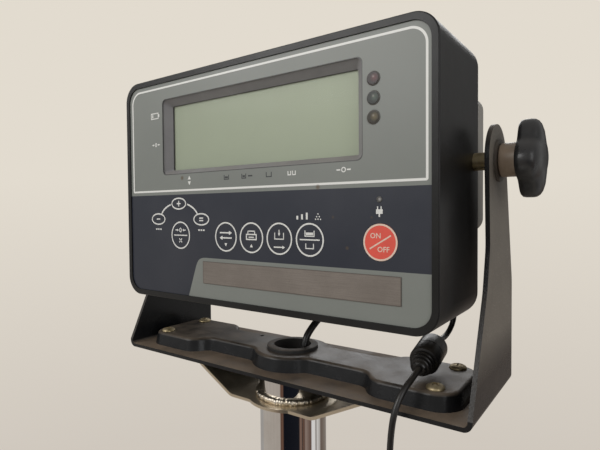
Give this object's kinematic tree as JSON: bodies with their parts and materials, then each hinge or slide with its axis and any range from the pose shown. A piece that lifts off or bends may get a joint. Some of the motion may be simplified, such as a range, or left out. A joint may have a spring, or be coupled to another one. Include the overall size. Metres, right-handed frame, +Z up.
{
  "type": "platform scale",
  "caption": "Electronic platform scale: a weighing pan on a load cell base, a column, and a tilting indicator head with display and round keys on a steel yoke",
  "frame": {"origin": "on the floor under the middle of the scale's own footprint, the free power lead, its coil and its adapter left out", "axes": "+Z up, +X to the right of somebody reading the display, +Y from the front of the pan to the column"},
  "size_m": [0.4, 0.62, 0.9202],
  "materials": {
    "pan": "brushed stainless sheet",
    "pan_support": "powder coated pressing",
    "pan_cushions": "moulded rubber",
    "load_cell": "milled aluminium with a potted middle",
    "load_cell_bolts": "zinc plated",
    "base_frame": "powder coated pressing",
    "foot_front_left": "rubber pad on a zinc plated stud",
    "foot_front_right": "rubber pad on a zinc plated stud",
    "foot_rear_left": "rubber pad on a zinc plated stud",
    "foot_rear_right": "rubber pad on a zinc plated stud",
    "foot_locknuts": "zinc plated",
    "overload_stops": "zinc plated",
    "level_vial": "clear vial of pale liquid",
    "column_foot": "satin stainless",
    "column_bolts": "zinc plated",
    "column_tube": "mirror polished stainless tube",
    "column_saddle": "bright stainless strip",
    "column_collar": "polished weld ring",
    "yoke_bracket": "dark powder coat, dusty on top",
    "yoke_grommet": "black rubber",
    "yoke_screws": "yellow zinc plated",
    "yoke_nuts": "yellow zinc plated",
    "knob_washers": "black nylon",
    "knob_left": "black moulded plastic",
    "knob_right": "black moulded plastic",
    "pivot_studs": "yellow zinc plated",
    "front_housing": "dark moulded plastic, fine texture",
    "rear_housing": "dark moulded plastic, fine texture",
    "rear_cover": "light warm grey moulded plastic",
    "keypad_overlay": "printed overlay, grey and navy",
    "display_frame": "dark grey frame",
    "display_window": "clear window",
    "lcd_module": "unlit grey green display",
    "lamp_high": "unlit red lens",
    "lamp_ok": "unlit green lens",
    "lamp_low": "unlit amber lens",
    "charge_lamp": "unlit clear lens",
    "key_on_off": "red key with a cream ring",
    "main_board": "green circuit board with its switches",
    "battery": "sealed battery case",
    "rating_plate": "bare taupe foil plate",
    "housing_screws": "zinc plated",
    "cover_screws": "zinc plated",
    "cable_gland": "black nylon",
    "dc_socket": "black plastic",
    "serial_port": "plated shell",
    "dc_plug": "black moulded plug",
    "ferrite": "black moulded shell",
    "load_cell_cable": "black jacket",
    "adapter_cord": "black jacket",
    "adapter_coil": "black jacket, coiled",
    "mains_adapter": "black plastic case with plated prongs",
    "key_zero": "navy printed key",
    "key_unit": "navy printed key",
    "key_print": "navy printed key",
    "key_tare": "navy printed key",
    "key_gross_net": "navy printed key",
    "key_memory_add": "navy printed key",
    "key_memory_subtract": "navy printed key",
    "key_memory_recall": "navy printed key"
  },
  "bodies": {
    "stand": {"pan_support": "pan_support", "pan_cushions": "pan_cushions", "load_cell": "load_cell", "load_cell_bolts": "load_cell_bolts", "base_frame": "base_frame", "foot_locknuts": "foot_locknuts", "overload_stops": "overload_stops", "level_vial": "level_vial", "column_foot": "column_foot", "column_bolts": "column_bolts", "column_tube": "column_tube", "column_saddle": "column_saddle", "column_collar": "column_collar", "yoke_bracket": "yoke_bracket", "yoke_grommet": "yoke_grommet", "yoke_screws": "yoke_screws", "yoke_nuts": "yoke_nuts", "knob_washers": "knob_washers", "ferrite": "ferrite", "load_cell_cable": "load_cell_cable", "adapter_cord": "adapter_cord", "adapter_coil": "adapter_coil", "mains_adapter": "mains_adapter"},
    "platform": {"pan": "pan"},
    "head": {"front_housing": "front_housing", "rear_housing": "rear_housing", "rear_cover": "rear_cover", "cover_screws": "cover_screws", "housing_screws": "housing_screws", "battery": "battery", "keypad_overlay": "keypad_overlay", "rating_plate": "rating_plate", "display_frame": "display_frame", "display_window": "display_window", "lcd_module": "lcd_module", "lamp_high": "lamp_high", "lamp_ok": "lamp_ok", "lamp_low": "lamp_low", "charge_lamp": "charge_lamp", "main_board": "main_board", "cable_gland": "cable_gland", "dc_socket": "dc_socket", "serial_port": "serial_port", "dc_plug": "dc_plug", "pivot_studs": "pivot_studs"},
    "button_on_off": {"key_on_off": "key_on_off"},
    "button_zero": {"key_zero": "key_zero"},
    "button_unit": {"key_unit": "key_unit"},
    "button_print": {"key_print": "key_print"},
    "button_tare": {"key_tare": "key_tare"},
    "button_gross_net": {"key_gross_net": "key_gross_net"},
    "button_memory_add": {"key_memory_add": "key_memory_add"},
    "button_memory_subtract": {"key_memory_subtract": "key_memory_subtract"},
    "button_memory_recall": {"key_memory_recall": "key_memory_recall"},
    "clamp_left": {"knob_left": "knob_left"},
    "clamp_right": {"knob_right": "knob_right"},
    "leveller_front_left": {"foot_front_left": "foot_front_left"},
    "leveller_front_right": {"foot_front_right": "foot_front_right"},
    "leveller_rear_left": {"foot_rear_left": "foot_rear_left"},
    "leveller_rear_right": {"foot_rear_right": "foot_rear_right"}
  },
  "joints": [
    {"name": "head_tilt", "type": "hinge", "parent": "stand", "child": "head", "pos_m": [0, 0.264, 0.8495], "axis": [1, 0, 0], "range_deg": [-45, 15], "deforming": ["adapter_cord", "load_cell_cable"]},
    {"name": "pan_lift", "type": "slide", "parent": "stand", "child": "platform", "axis": [0, 0, 1], "range_m": [0, 0.05]},
    {"name": "knob_left_turn", "type": "hinge", "parent": "head", "child": "clamp_left", "pos_m": [-0.1395, 0.264, 0.8495], "axis": [1, 0, 0], "continuous": true},
    {"name": "knob_right_turn", "type": "hinge", "parent": "head", "child": "clamp_right", "pos_m": [0.1395, 0.264, 0.8495], "axis": [1, 0, 0], "continuous": true},
    {"name": "key_on_off_press", "type": "slide", "parent": "head", "child": "button_on_off", "axis": [0, 1, 0], "range_m": [0, 0.0005], "stiffness_N_per_m": 400},
    {"name": "key_zero_press", "type": "slide", "parent": "head", "child": "button_zero", "axis": [0, 1, 0], "range_m": [0, 0.0005], "stiffness_N_per_m": 400},
    {"name": "key_unit_press", "type": "slide", "parent": "head", "child": "button_unit", "axis": [0, 1, 0], "range_m": [0, 0.0005], "stiffness_N_per_m": 400},
    {"name": "key_print_press", "type": "slide", "parent": "head", "child": "button_print", "axis": [0, 1, 0], "range_m": [0, 0.0005], "stiffness_N_per_m": 400},
    {"name": "key_tare_press", "type": "slide", "parent": "head", "child": "button_tare", "axis": [0, 1, 0], "range_m": [0, 0.0005], "stiffness_N_per_m": 400},
    {"name": "key_gross_net_press", "type": "slide", "parent": "head", "child": "button_gross_net", "axis": [0, 1, 0], "range_m": [0, 0.0005], "stiffness_N_per_m": 400},
    {"name": "key_memory_add_press", "type": "slide", "parent": "head", "child": "button_memory_add", "axis": [0, 1, 0], "range_m": [0, 0.0005], "stiffness_N_per_m": 400},
    {"name": "key_memory_subtract_press", "type": "slide", "parent": "head", "child": "button_memory_subtract", "axis": [0, 1, 0], "range_m": [0, 0.0005], "stiffness_N_per_m": 400},
    {"name": "key_memory_recall_press", "type": "slide", "parent": "head", "child": "button_memory_recall", "axis": [0, 1, 0], "range_m": [0, 0.0005], "stiffness_N_per_m": 400},
    {"name": "foot_front_left_turn", "type": "hinge", "parent": "stand", "child": "leveller_front_left", "pos_m": [-0.155, -0.265, 0.04], "axis": [0, 0, 1], "continuous": true},
    {"name": "foot_front_right_turn", "type": "hinge", "parent": "stand", "child": "leveller_front_right", "pos_m": [0.155, -0.265, 0.04], "axis": [0, 0, 1], "continuous": true},
    {"name": "foot_rear_left_turn", "type": "hinge", "parent": "stand", "child": "leveller_rear_left", "pos_m": [-0.155, 0.145, 0.04], "axis": [0, 0, 1], "continuous": true},
    {"name": "foot_rear_right_turn", "type": "hinge", "parent": "stand", "child": "leveller_rear_right", "pos_m": [0.155, 0.145, 0.04], "axis": [0, 0, 1], "continuous": true}
  ]
}
